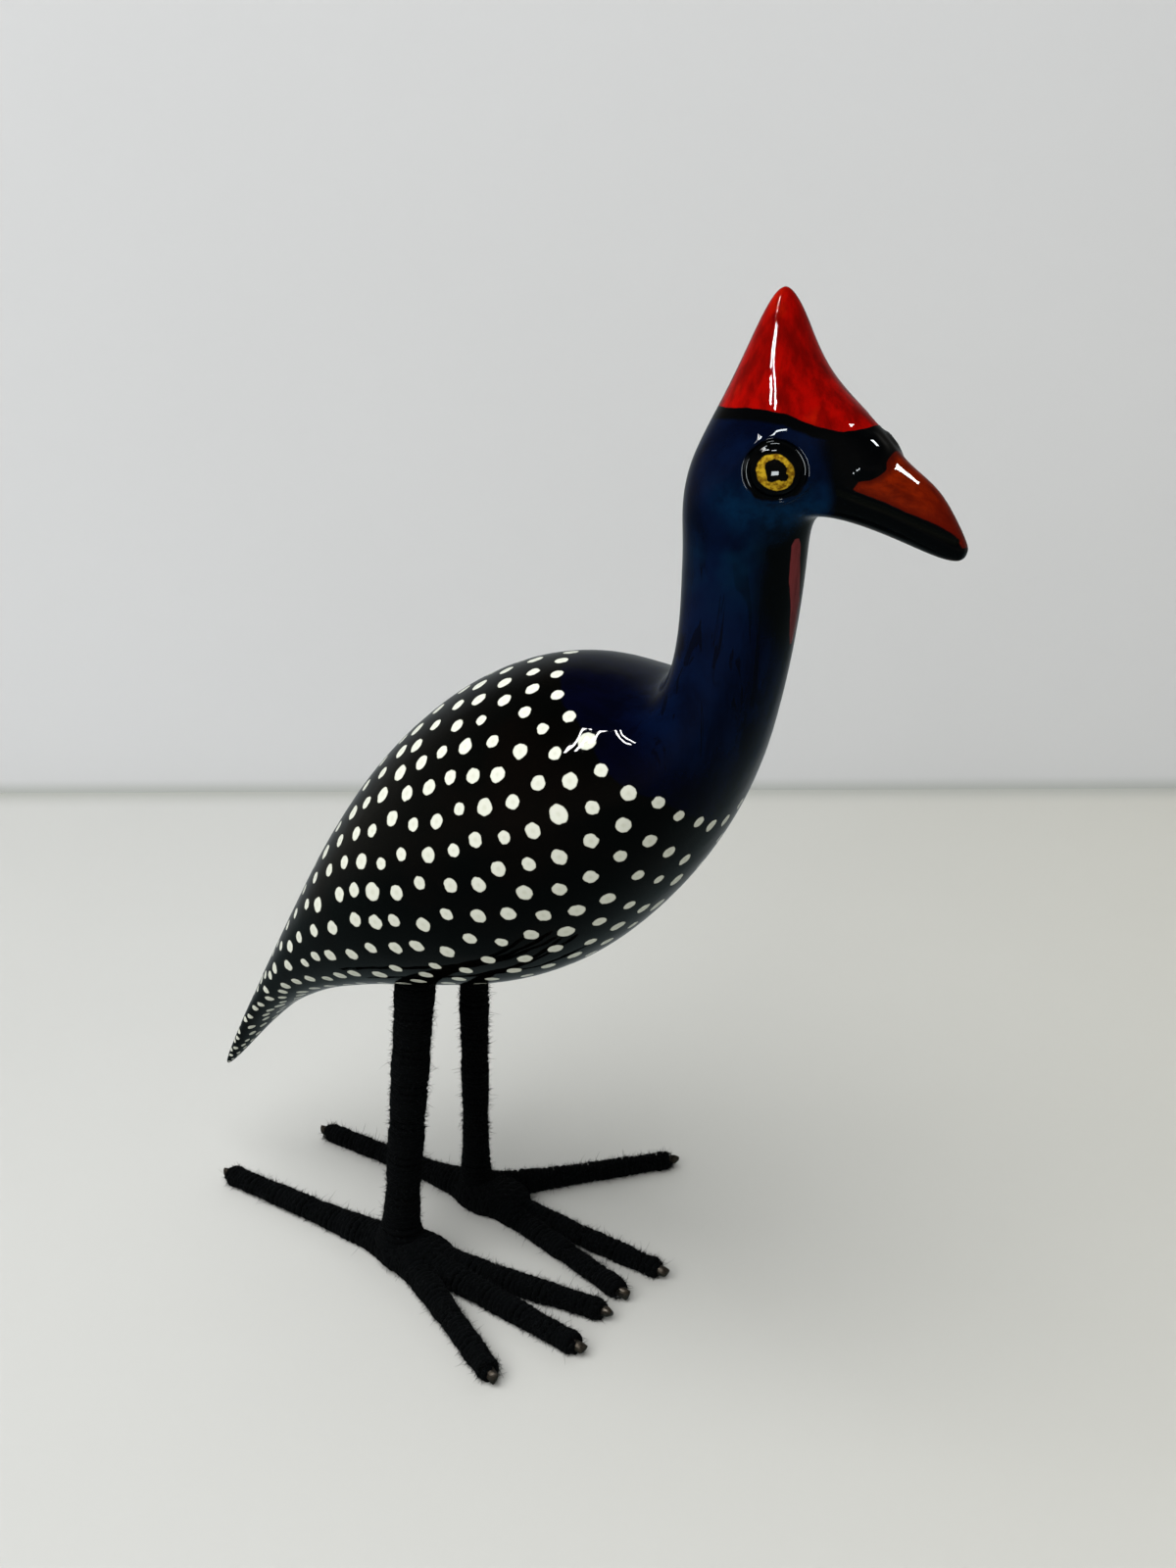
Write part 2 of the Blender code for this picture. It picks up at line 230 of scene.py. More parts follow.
def values_of(items, field, kind=np.float32, width=1):
    """What a mesh keeps under one name for each of its items."""
    values = np.empty(len(items) * width, kind)
    items.foreach_get(field, values)
    return values


def surface_share(count):
    """Radius of the smooth surface as a share of that of its ring of count control points."""
    return (4 + 2 * math.cos(2 * math.pi / count)) / 6


def oval(back, front, half_width, count, bulge=0.0):
    """Control points of an oval section, from its back and round the bird's right side."""
    middle = (back + front) / 2
    reach = (back - front) / 2
    spread = 1 / surface_share(count)
    points = []
    for k in range(count):
        turn = 2 * math.pi * k / count
        side = math.sin(turn)
        along = math.cos(turn) - bulge * side * side
        points.append(middle + (reach * along + Vector((0, -half_width * side, 0))) * spread)
    return points


def add_ring(bm, points):
    return [bm.verts.new(p) for p in points]


def bridge(bm, ring, following, skip=()):
    count = len(ring)
    for k in range(count):
        if k not in skip:
            after = (k + 1) % count
            bm.faces.new((ring[k], ring[after], following[after], following[k]))


def cap(bm, ring, point):
    """Closes a ring with four-sided faces that meet at one point."""
    centre = bm.verts.new(point)
    count = len(ring)
    for k in range(0, count, 2):
        bm.faces.new((ring[k], ring[(k + 1) % count], ring[(k + 2) % count], centre))
    return centre


def opening(rings, centre):
    """The eight control points round the middle one of three neighbouring sections, top first."""
    lower, middle, upper = rings
    return [upper[centre], upper[centre - 1], middle[centre - 1], lower[centre - 1],
            lower[centre], lower[centre + 1], middle[centre + 1], upper[centre + 1]]


def add_beak(bm, rings):
    """Draws the beak out of the opening in the front of the head."""
    ring = opening(rings, FRONT)
    for upper, lower, half_width in BEAK:
        following = add_ring(bm, oval(carved(*upper), carved(*lower), half_width, len(ring)))
        bridge(bm, ring, following)
        ring = following
    cap(bm, ring, sum((v.co for v in ring), Vector()) / len(ring))


def add_eye(bm, rings, index):
    """Turns a ring groove and a dome into the side of the head. Returns the eye's centre and axes."""
    edge = [v.co for v in opening(rings, index)]
    centre = (rings[1][index].co * 16 + sum(edge[0::2], Vector()) * 4 + sum(edge[1::2], Vector())) / 36
    upward = (edge[0] - edge[4]).normalized()
    outward = (edge[6] - edge[2]).cross(upward).normalized()
    onward = outward.cross(upward)
    bm.verts.remove(rings[1][index])
    ring = opening(rings, index)
    for share, lift in EYE_PROFILE:
        radius = EYE_RADIUS * share / surface_share(len(ring))
        following = []
        for k, corner in enumerate(edge):
            turn = 2 * math.pi * k / len(edge)
            aim = upward * math.cos(turn) + onward * math.sin(turn)
            offset = corner - centre
            fall = offset.dot(outward)
            reach = (offset - outward * fall).length
            following.append(centre + aim * radius + outward * (fall * (radius / reach) ** 2 + lift))
        following = add_ring(bm, following)
        bridge(bm, ring, following)
        ring = following
    cap(bm, ring, centre + outward * EYE_DOME_RISE * 1.5)
    return centre, upward, outward


def smooth_skin():
    """The bird's smooth skin in millimetres: vertices, faces, station, angle round and the two eyes."""
    bm = bmesh.new()
    layers = [bm.verts.layers.float.new(name) for name in LAYERS]
    rings = []
    for number, (back, front, half_width, bulge) in enumerate(SECTIONS):
        ring = add_ring(bm, oval(carved(*back), carved(*front), half_width, SIDES, bulge))
        for k, v in enumerate(ring):
            turn = 2 * math.pi * k / SIDES
            v[layers[0]], v[layers[1]], v[layers[2]] = number, math.cos(turn), math.sin(turn)
        rings.append(ring)
    for number, (ring, following) in enumerate(zip(rings, rings[1:])):
        skip = ()
        if JAW <= number < BROW:
            skip = (FRONT - 1, FRONT)
            for side in (EYE_SIDE, SIDES - EYE_SIDE):
                skip += (side - 1, side)
        bridge(bm, ring, following, skip)
    cap(bm, rings[0], carved(*TAIL_TIP))[layers[0]] = -1
    cap(bm, rings[-1], carved(*CASQUE_TIP))[layers[0]] = len(SECTIONS)
    head = rings[JAW:BROW + 1]
    eyes = [add_eye(bm, head, side) for side in (EYE_SIDE, SIDES - EYE_SIDE)]
    bm.verts.remove(head[1][FRONT])
    add_beak(bm, head)
    bmesh.ops.recalc_face_normals(bm, faces=bm.faces)
    cage = bpy.data.meshes.new("cage")
    bm.to_mesh(cage)
    bm.free()
    holder = linked("cage", cage)
    smooth = holder.modifiers.new("smooth", "SUBSURF")
    smooth.levels = smooth.render_levels = SMOOTHING
    shape = holder.evaluated_get(bpy.context.evaluated_depsgraph_get()).data
    points = values_of(shape.vertices, "co", width=3).reshape(-1, 3).astype(float)
    faces = values_of(shape.loops, "vertex_index", np.int32).reshape(-1, 4)
    station, cosine, sine = (values_of(shape.attributes[name].data, "value").astype(float) for name in LAYERS)
    bpy.data.objects.remove(holder)
    return points, faces, station, np.degrees(np.arctan2(sine, cosine)), eyes


# Helpers for distances and noise


def line_distance(x, z, line):
    """Distance from each (x, z) to an open line of points."""
    best = np.full(len(x), 1e9)
    for (x0, z0), (x1, z1) in zip(line, line[1:]):
        dx, dz = x1 - x0, z1 - z0
        t = np.clip(((x - x0) * dx + (z - z0) * dz) / (dx * dx + dz * dz), 0, 1)
        best = np.minimum(best, np.hypot(x - x0 - t * dx, z - z0 - t * dz))
    return best


def outline_distance(x, z, outline):
    """Distance inside a closed outline, negative outside it."""
    closed = list(outline) + [outline[0]]
    inside = np.zeros(len(x), bool)
    for (x0, z0), (x1, z1) in zip(closed, closed[1:]):
        if z0 != z1:
            crossing = (z0 > z) != (z1 > z)
            inside ^= crossing & (x < (x1 - x0) * (z - z0) / (z1 - z0) + x0)
    distance = line_distance(x, z, closed)
    return np.where(inside, distance, -distance)


def ramp(value, low, high):
    """Smooth step from 0 at low to 1 at high."""
    t = np.clip((value - low) / (high - low), 0, 1)
    return t * t * (3 - 2 * t)


def waves(points, wavelength, seed):
    """Smooth noise from about -1 to 1 at each point, by wavelength in millimetres."""
    shift = Vector((seed * 17.3, seed * 5.1, seed * 9.7))
    return np.array([noise.noise(Vector(p) / wavelength + shift) for p in points])


def normals(points, faces):
    """Unit normal at each point of a mesh of four-sided faces."""
    a, b, c, d = (points[faces[:, k]] for k in range(4))
    face = np.cross(c - a, d - b)
    total = np.zeros_like(points)
    for k in range(4):
        np.add.at(total, faces[:, k], face)
    return unit(total)


def lengths_of(vectors):
    return np.linalg.norm(vectors, axis=-1)


def unit(vectors):
    return vectors / np.maximum(lengths_of(vectors), 1e-9)[..., None]


def value_at(table, at):
    return np.interp(at, [row[0] for row in table], [row[1] for row in table])


# The bird


def carve(points, faces, eyes):
    """Works the finer relief into the skin: the nostrils, the mouth and the tool marks."""
    out = normals(points, faces)
    x, y, z = points.T
    near_eye = np.ones(len(points))
    for centre, _, _ in eyes:
        reach = lengths_of(points - np.array(centre))
        near_eye = np.minimum(near_eye, ramp(reach, EYE_RADIUS, EYE_RADIUS + 2.5))
    beak = ramp(x, 90.5, 93) * (z > HEAD_BASE)
    lobe = outline_distance(x, z, NOSTRIL_LOBE)
    side = ramp(np.abs(y), 0.6, 2.6)
    lift = LOBE_RISE * ramp(lobe, -0.35, 1.3) * side * (x > 90)
    groove = np.clip(1 - line_distance(x, z, MOUTH) / MOUTH_WIDTH, 0, 1)
    lift -= MOUTH_DEPTH * groove * groove * (3 - 2 * groove) * beak * ramp(np.abs(out[:, 1]), 0.25, 0.6)
    flat = ramp(np.abs(y), 1, 3) * ramp(z - value_at(MOUTH, x), 0.8, 2.2) * beak * (lobe < -0.6)
    lift -= BEAK_FLATTENING * flat
    body = 1 - 0.6 * ramp(z, 150, 170)
    marks = sum(height * waves(points, wavelength, seed) for height, wavelength, seed in TOOL_MARKS)
    lift += marks * body * near_eye
    return points + out * lift[:, None]


def tree_of(spots):
    tree = kdtree.KDTree(len(spots))
    for index, spot in enumerate(spots):
        tree.insert(spot, index)
    tree.balance()
    return tree


def mean_near(tree, spot, surface, power):
    """Mean of the four points of the surface next to a spot, the nearer ones with more weight."""
    near = tree.find_n(spot, 4)
    weights = np.array([1 / (gap + 1e-4) ** power for _, _, gap in near])
    return weights @ surface[[index for _, index, _ in near]] / weights.sum()


def dot_centres(points, station, angle, rng):
    """Painted dots in ranks from the collar to the tail: their centres, radii and shades."""
    first, last = DOT_STATIONS
    used = (station >= first) & (station < last) & (points[:, 2] < DOT_CEILING)
    surface, turns = points[used], np.radians(angle[used])
    tree = tree_of(np.column_stack((station[used], np.cos(turns), np.sin(turns))) * SEARCH_SCALE)

    def skin(at, degrees):
        turn = math.radians(degrees)
        return mean_near(tree, [c * SEARCH_SCALE for c in (at, math.cos(turn), math.sin(turn))], surface, 2)

    def on_rank(share, degrees):
        """Station of a rank at an angle: 1 is along the collar, 0 at the tail's tip."""
        return LAST_RANK + (float(value_at(COLLAR, degrees)) - 0.03 - LAST_RANK) * share

    turns = np.linspace(0, 180, 46)
    centres, share, rank = [], 1, 0
    while share > 0:
        at = on_rank(share, 90)
        spacing = float(value_at(DOT_SPACING, at))
        for side in (1, -1):
            line = np.array([skin(on_rank(share, t), side * t) for t in turns])
            run = np.concatenate(([0], np.cumsum(lengths_of(np.diff(line, axis=0)))))
            place = spacing * (0.5 * (rank % 2) + rng.gauss(0.04, 0.03))
            while place < run[-1]:
                degrees = float(np.interp(place, run, turns))
                here = on_rank(share, degrees)
                if rank:
                    here += rng.gauss(0, 0.06) * spacing / STATION_LENGTH
                radius = float(value_at(DOT_RADII, here)) * (1 + rng.gauss(0, 0.09))
                if rng.random() < BIG_DOTS[0]:
                    radius *= BIG_DOTS[1]
                centres.append((skin(here, side * degrees), radius, rng.random(), spacing, rank > 0))
                place += spacing * (1 + rng.gauss(0, 0.07))
        length = np.linalg.norm(skin(at, 90) - skin(at - 0.1, 90)) * 10 * (on_rank(1, 90) - LAST_RANK)
        share -= RANK_STEP * spacing * (1 + rng.gauss(0, 0.02)) / length
        rank += 1
    kept = []
    for dot in centres:
        if all(np.linalg.norm(dot[0] - other[0]) > DOT_CLEARANCE * (dot[1] + other[1]) for other in kept):
            kept.append(dot)
    place, radii, shades, room, free = (np.array(column) for column in zip(*kept))
    even_out(place, room * EVEN_SHARE, free, surface)
    return place, radii, shades


def even_out(place, room, free, surface):
    """Moves the free ones of crowded places apart over a surface."""
    tree = tree_of(surface)
    wanted = (room[:, None] + room[None]) / 2
    for _ in range(EVEN_ROUNDS):
        apart = place[:, None] - place[None]
        gap = lengths_of(apart)
        np.fill_diagonal(gap, 1e9)
        push = apart * (EVEN_PUSH * np.clip(wanted / gap - 1, 0, 1))[..., None]
        place[free] += push.sum(1)[free]
        for index in np.flatnonzero(free):
            place[index] = mean_near(tree, place[index], surface, 1)


def store(mesh, name, values, domain="POINT"):
    """Keeps a number or a vector for each point or each corner of a mesh."""
    values = np.asarray(values, np.float32)
    kind, field = ("FLOAT", "value") if values.ndim == 1 else ("FLOAT_VECTOR", "vector")
    mesh.attributes.new(name, kind, domain).data.foreach_set(field, values.ravel())


def paint_bird(mesh, points, faces, station, angle, eyes, rng):
    """Stores on the skin how far each point lies inside each painted area, in millimetres."""
    x, y, z = points.T
    out = normals(points, faces)
    around = np.abs(angle)
    head = z > HEAD_BASE
    beak = head & (x > 90)
    cheeks = beak & (np.abs(out[:, 1]) > 0.3)
    beyond = (station > DOT_STATIONS[1]) | (z > DOT_CEILING)
    stripe_y, stripe_z, stripe_width = np.array(WATTLE)[::-1].T
    stripe = np.interp(z, stripe_z, stripe_width, 0, 0) - np.abs(y - np.interp(z, stripe_z, stripe_y))
    front = (x > 74) & (x < 90) & (out[:, 0] > 0) & (z > stripe_z[0]) & (z < stripe_z[-1])
    throat = np.clip(outline_distance(x, z, THROAT), FAR_OUTSIDE, -FAR_OUTSIDE)
    fields = {
        "casque": z - value_at(CASQUE_EDGE, x),
        "mask": np.where(head, outline_distance(x, z, FACE_MASK), FAR_OUTSIDE),
        "horn": np.where(head & (x > 88), outline_distance(x, z, BEAK_HORN), FAR_OUTSIDE),
        "mouth": np.where(cheeks, 1 - line_distance(x, z, MOUTH), FAR_OUTSIDE),
        "chin": np.where(beak, -out[:, 2], -1),
        "throat": np.where(x > 70, throat, FAR_OUTSIDE),
        "collar": np.where(beyond, 30, (station - value_at(COLLAR, around)) * COLLAR_SLOPE),
        "wattle": np.where(front, stripe, FAR_OUTSIDE),
    }
    for name, values in fields.items():
        store(mesh, name, values)
    flat = np.zeros((len(points), 3))
    for centre, upward, outward in eyes:
        is_right = outward.y < 0
        side = (y <= 0) == is_right
        forward = upward.cross(outward) if is_right else outward.cross(upward)
        for column, aim in enumerate((forward, upward, outward)):
            flat[side, column] = (points[side] - np.array(centre)) @ np.array(aim)
    store(mesh, "eye", flat)

    centres, radii, shades = dot_centres(points, station, angle, rng)
    nearest = np.zeros(len(points), np.int32)
    share = np.full(len(points), 1e9)
    for start in range(0, len(points), BLOCK):
        block = slice(start, start + BLOCK)
        gaps = lengths_of(points[block, None] - centres) / radii
        nearest[block], share[block] = gaps.argmin(1), gaps.min(1)
    pick = share[faces].argmin(1)
    owner = nearest[faces[np.arange(len(faces)), pick]]
    corner = (points[faces] - centres[owner][:, None, :]) / radii[owner][:, None, None]
    along = (corner @ np.array(BODY_AIM))[..., None] * np.array(BODY_AIM)
    corner -= along * (1 - 1 / value_at(DOT_LENGTH, centres[owner][:, 0]))[:, None, None]
    store(mesh, "dot", np.clip(corner, -6, 6).reshape(-1, 3), "CORNER")
    store(mesh, "shade", np.repeat(shades[owner], 4), "CORNER")


def mesh_of(name, points, faces, finish):
    """A smooth-shaded mesh object from arrays, in metres."""
    mesh = bpy.data.meshes.new(name)
    faces = np.asarray(faces, np.int32)
    count, sides = faces.shape
    mesh.vertices.add(len(points))
    mesh.vertices.foreach_set("co", np.asarray(points, np.float32).ravel())
    mesh.loops.add(faces.size)
    mesh.loops.foreach_set("vertex_index", faces.ravel())
    mesh.polygons.add(count)
    mesh.polygons.foreach_set("loop_start", np.arange(0, faces.size, sides, dtype=np.int32))
    mesh.update(calc_edges=True)
    mesh.validate()
    mesh.shade_smooth()
    mesh.materials.append(finish)
    return linked(name, mesh)


# Materials


class Nodes:
    """Adds nodes to the tree of one material or world."""

    def __init__(self, tree):
        self.tree = tree
        self.coordinates = tree.nodes.new("ShaderNodeTexCoord").outputs

    def node(self, kind, inputs=None, **settings):
        made = self.tree.nodes.new("ShaderNode" + kind)
        for key, value in settings.items():
            setattr(made, key, value)
        for key, value in (inputs or {}).items():
            self.feed(made.inputs[key], value)
        return made

    def feed(self, socket, value):
        if isinstance(value, bpy.types.NodeSocket):
            self.tree.links.new(value, socket)
        elif isinstance(value, tuple) and len(value) == 3 and socket.type == "RGBA":
            socket.default_value = (*value, 1)
        else:
            socket.default_value = value

    def math(self, operation, a, b=0, c=0):
        made = self.node("Math", operation=operation)
        for socket, value in zip(made.inputs, (a, b, c)):
            self.feed(socket, value)
        return made.outputs[0]

    def times(self, a, b):
        return self.math("MULTIPLY", a, b)

    def blend(self, value, low, high, a, b):
        """Smooth change from colour a where the value is low to colour b where it is high."""
        return self.mix(self.step(value, low, high), a, b)

    def reach(self, a, b):
        """Distance of the point (a, b) from the middle."""
        return self.math("SQRT", self.math("ADD", self.times(a, a), self.times(b, b)))

    def dot(self, a, b):
        return self.node("VectorMath", {0: a, 1: b}, operation="DOT_PRODUCT").outputs["Value"]

    def step(self, value, low, high, bottom=0, top=1):
        """Smooth change from bottom at low to top at high."""
        inputs = {"Value": value, "From Min": low, "From Max": high, "To Min": bottom, "To Max": top}
        return self.node("MapRange", inputs, interpolation_type="SMOOTHSTEP").outputs[0]

    def mix(self, share, a, b):
        made = self.node("Mix", data_type="RGBA")
        self.feed(made.inputs["Factor"], share)
        self.feed(made.inputs["A"], a)
        self.feed(made.inputs["B"], b)
        return made.outputs["Result"]


class Shader(Nodes):
    """Builds one material round its Principled shader."""

    def __init__(self, name):
        self.material = bpy.data.materials.new(name)
        self.material.use_nodes = True
        super().__init__(self.material.node_tree)
        self.surface = self.tree.nodes["Principled BSDF"]
        self.place = self.coordinates["Object"]

    def set(self, **values):
        for key, value in values.items():
            self.feed(self.surface.inputs[key.replace("_", " ")], value)

    def stored(self, name, output="Fac"):
        """What paint_bird stored on the mesh under a name."""
        return self.node("Attribute", attribute_name=name).outputs[output]

    def noise(self, scale, detail=2, roughness=0.5, vector=None, distortion=0):
        inputs = {"Vector": vector or self.place, "Scale": scale, "Detail": detail, "Roughness": roughness,
                  "Distortion": distortion}
        return self.node("TexNoise", inputs).outputs["Fac"]

    def streaks(self, x, y, z, detail=4, roughness=0.6, distortion=0):
        """Noise with a scale of its own along each axis."""
        stretched = self.node("Mapping", {"Vector": self.place, "Scale": (x, y, z)}).outputs[0]
        return self.noise(1, detail, roughness, stretched, distortion)

    def wobble(self, value, amount, scale):
        """The value with a hand-painted waver added to it."""
        lowered = self.math("SUBTRACT", value, amount)
        return self.math("MULTIPLY_ADD", self.noise(scale), amount * 2, lowered)

    def painted(self, name, amount, scale):
        return self.wobble(self.stored(name), amount, scale)

    def bump(self, height, distance, strength=1, normal=None):
        inputs = {"Height": height, "Distance": distance, "Strength": strength}
        if normal:
            inputs["Normal"] = normal
        return self.node("Bump", inputs).outputs[0]


def lacquered_paint():
    """Brushed paint under a thick clear lacquer. Its areas are read from what paint_bird stored."""
    s = Shader("lacquered_wood")
    brushed = s.streaks(90, 260, 60)
    blotches = s.noise(70, 3, 0.6)
    spot = s.node("SeparateXYZ", {"Vector": s.place})
    ahead, height = spot.outputs["X"], spot.outputs["Z"]

    # navy above and deep blue below, with drips on the neck and a blotch of teal under the head
    drips = s.step(s.streaks(240, 240, 42, 3, distortion=1.2), 0.54, 0.58)
    drips = s.times(drips, s.step(height, 0.162, 0.154))
    navy = s.mix(s.times(drips, 0.75), s.blend(brushed, 0.35, 0.7, *NAVY), DRIP)
    slanted = s.math("MULTIPLY_ADD", ahead, 0.9, height)
    deep = s.blend(brushed, 0.3, 0.7, *DEEP_BLUE)
    navy = s.blend(s.wobble(slanted, 0.006, 60), 0.155, 0.175, deep, navy)
    under_head = s.times(s.step(height, 0.145, 0.16), s.step(height, 0.17, 0.16))
    teal = s.times(s.step(blotches, 0.44, 0.66), under_head)
    navy = s.mix(s.times(teal, 0.6), navy, TEAL)
    black = s.blend(s.noise(45, 3), 0.45, 0.7, *BODY_BLACK)
    colour = s.blend(s.painted("collar", 0.35, 260), -0.25, 0.25, black, navy)
    throat = s.step(s.painted("throat", 1.1, 150), -1.5, 1.6)
    colour = s.mix(throat, colour, THROAT_BLACK)

    # a brighter blue on the cheek, below the eye
    eye = s.stored("eye", "Vector")
    spread = s.node("SeparateXYZ", {"Vector": eye})
    across, over = spread.outputs["X"], spread.outputs["Y"]
    reach = s.node("VectorMath", {0: eye}, operation="LENGTH").outputs["Value"]
    cheek = s.times(s.step(height, 0.173, 0.166), s.step(reach, 14, 8))
    cheek = s.times(cheek, s.step(s.noise(190, 4, 0.65), 0.36, 0.6, 0.35, 1))
    colour = s.mix(cheek, colour, CHEEK_BLUE)

    # the black of the face: round the beak, under the casque and round each eye
    casque = s.painted("casque", 0.22, 420)
    mask = s.step(s.painted("mask", 1.5, 170), -1.3, 1.7)
    band = s.step(casque, -BAND_WIDTH - 0.35, -BAND_WIDTH + 0.25)
    hand = s.noise(480, 2, 0.55)
    ring = s.step(s.math("MULTIPLY_ADD", hand, 0.9, reach), 5.85, 5.35)
    dark = s.math("MAXIMUM", s.math("MAXIMUM", mask, band), ring)
    colour = s.mix(dark, colour, FACE_BLACK)

    red_streaks = s.streaks(420, 420, 70)
    red = s.blend(red_streaks, 0.3, 0.72, *RED)
    red = s.blend(s.noise(150, 3), 0.55, 0.8, red, BRIGHT_RED)
    colour = s.blend(casque, -0.07, 0.07, colour, red)

    horn = s.blend(s.streaks(120, 500, 300), 0.3, 0.72, *HORN)
    edge = s.step(s.painted("horn", 0.5, 300), 1.3, 0.1, 0, 0.8)
    horn = s.blend(ahead, 0.074, 0.09, s.mix(edge, horn, HORN_EDGE), HORN_ROOT)
    colour = s.blend(s.painted("horn", 0.12, 500), -0.1, 0.1, colour, horn)
    colour = s.blend(s.stored("mouth"), 0.35, 0.6, colour, MOUTH_BLACK)
    chin = s.times(s.step(s.stored("chin"), 0.75, 0.95), s.step(s.stored("mask"), 2, 4))
    colour = s.mix(s.times(chin, 0.7), colour, CHIN_BROWN)
    wattle = s.step(s.painted("wattle", 0.25, 350), -0.12, 0.12)
    colour = s.mix(wattle, colour, s.blend(red_streaks, 0.35, 0.65, *WATTLE_RED))

    # the eye: a yellow ring laid on by hand round a black pupil
    iris = s.blend(s.noise(1300, 3, 0.6), 0.35, 0.65, *IRIS)
    iris_reach = s.math("MULTIPLY_ADD", hand, 0.7, s.reach(across, s.times(over, 1.12)))
    colour = s.blend(iris_reach, 3.6, 3.38, colour, iris)
    pupil = s.reach(s.times(across, 0.84), s.math("SUBTRACT", over, 0.35))
    pupil = s.math("MULTIPLY_ADD", s.noise(700), 1.7, pupil)
    colour = s.blend(pupil, 2.65, 2.5, colour, PUPIL_BLACK)

    # dots touched on with the end of a stick
    dot, shade = s.stored("dot", "Vector"), s.stored("shade")
    away = s.node("CombineXYZ", {"X": s.times(shade, 37)}).outputs[0]
    uneven = s.noise(1.1, 1.5, 0.5, s.node("VectorMath", {0: dot, 1: away}).outputs[0])
    size = s.node("VectorMath", {0: dot}, operation="LENGTH").outputs["Value"]
    size = s.math("MULTIPLY_ADD", uneven, 0.42, s.math("SUBTRACT", size, 0.21))
    white = s.blend(size, 0.05, 0.5, *DOT_WHITE)
    white = s.blend(size, 0.8, 1, white, DOT_RIM)
    white = s.mix(s.times(shade, 0.22), white, DOT_DULL)
    colour = s.blend(size, 1.04, 0.95, colour, white)

    specks = s.node("TexVoronoi", {"Vector": s.place, "Scale": 130}).outputs["Distance"]
    wet = s.bump(s.step(specks, 0.06, 0), 0.00012, 0.5, s.bump(s.noise(130, 2, 0.45), 0.00055, 0.22))
    strokes = s.bump(s.math("ADD", brushed, s.noise(900, 3, 0.6)), 0.00004, 0.5, wet)
    s.set(Base_Color=colour, Roughness=s.step(blotches, 0.3, 0.7, 0.3, 0.42), Normal=strokes,
          Coat_Normal=wet, Coat_Weight=1, Coat_Roughness=0.02, Coat_IOR=1.22, Specular_IOR_Level=0)
    return s.material


def black_wool():
    """Two-ply wool, almost black, with a soft sheen of loose fibre."""
    s = Shader("black_wool")
    fibres = s.streaks(5200, 5200, 1400, 3, 0.7)
    patches = s.noise(260)
    colour = s.blend(fibres, 0.3, 0.75, *WOOL)
    colour = s.mix(s.step(patches, 0.4, 0.7, 0, 0.5), colour, WOOL_PATCH)
    s.set(Base_Color=colour, Roughness=s.step(patches, 0.3, 0.7, 0.85, 0.97), Specular_IOR_Level=0.04,
          Sheen_Weight=0.015, Sheen_Roughness=0.5, Sheen_Tint=WOOL_SHEEN,
          Normal=s.bump(fibres, 0.00012, 0.6))
    return s.material


def loose_fibre():
    """Single wool fibres that stand off the yarn."""
    s = Shader("loose_fibre")
    tone = s.noise(900, 1)
    s.set(Base_Color=s.blend(tone, 0.35, 0.65, *FIBRE), Roughness=s.step(tone, 0.3, 0.7, 0.7, 0.85),
          Specular_IOR_Level=0.08)
    return s.material


def nipped_steel():
    """Steel wire, dulled and a little stained where it was cut."""
    s = Shader("steel_wire")
    drawn = s.streaks(900, 4200, 4200, 3)
    stain = s.noise(700, 3, 0.6)
    colour = s.mix(s.step(stain, 0.5, 0.72, 0, 0.7), s.blend(drawn, 0.3, 0.7, *STEEL), STEEL_STAIN)
    s.set(Base_Color=colour, Metallic=1, Roughness=s.step(stain, 0.3, 0.7, 0.42, 0.62),
          Normal=s.bump(drawn, 0.00003, 0.7))
    return s.material


# The legs

WIRE_RADIUS = 1.1
SOCKET_DEPTH = 12
YARN_SEAT_DEPTH = 3.5
TOE_START, BARE_TIP = 2.5, 1.6  # of the yarn of a toe, from the ankle and from the tip
FOOT_FLAT = 0.35
FOOT_SPREAD = 13.6
LEG_TOP = (3.8, 9.8, 64)
FOOT_PAD = (9.8, 6.7, 3.6)
FOOT_PAD_FORWARD = 4.2
PAD_LAYERS = ((0, 0.1), (0.75, -0.12), (-0.7, 0.08))  # of yarn on the pad: yaw, rise forwards
# side of the bird, radius of the wound leg at the belly and at the foot, of a wound toe at its root and
# at its tip, and the toes as (length, heading in degrees from straight ahead, positive to the left)
LEGS = (
    ("right", -1, (4.2, 3.5), (2.75, 2.25), ((48, -28), (52, -6.5), (50.5, 7.5), (54, 179))),
    ("left", 1, (3.3, 2.75), (2.5, 2.1), ((51.5, -15.5), (52.5, -3), (49, 50), (48.5, 179))),
)
STRAND_RADIUS = 0.78  # one turn of the yarn
PITCH = 1.2  # from turn to turn
PAD_TURNS = 9.5
STRAND_SIDES = 8
PLY_LENGTH = 3.4  # how far the two plies take to go once round each other
SEGMENT = 0.6  # length of one piece of the swept strand
# loose fibres of one leg: how many, length from and to, rings and radius of each
FIBRES = ((34000, (0.35, 1.3), 1, 0.065), (1500, (1, 2.6), 4, 0.045))
PAD_SHARE = 18  # the pad grows as many fibres as this length of wound wire
ROOT_DEPTH, PAD_ROOT_DEPTH = 0.25, 0.3  # how far the fibres start inside the yarn
LOWEST_ROOT = 0.15  # no fibre starts lower than this over the floor
TUBE_SIDES = 20  # of the wire, and of the plain cores under the yarn


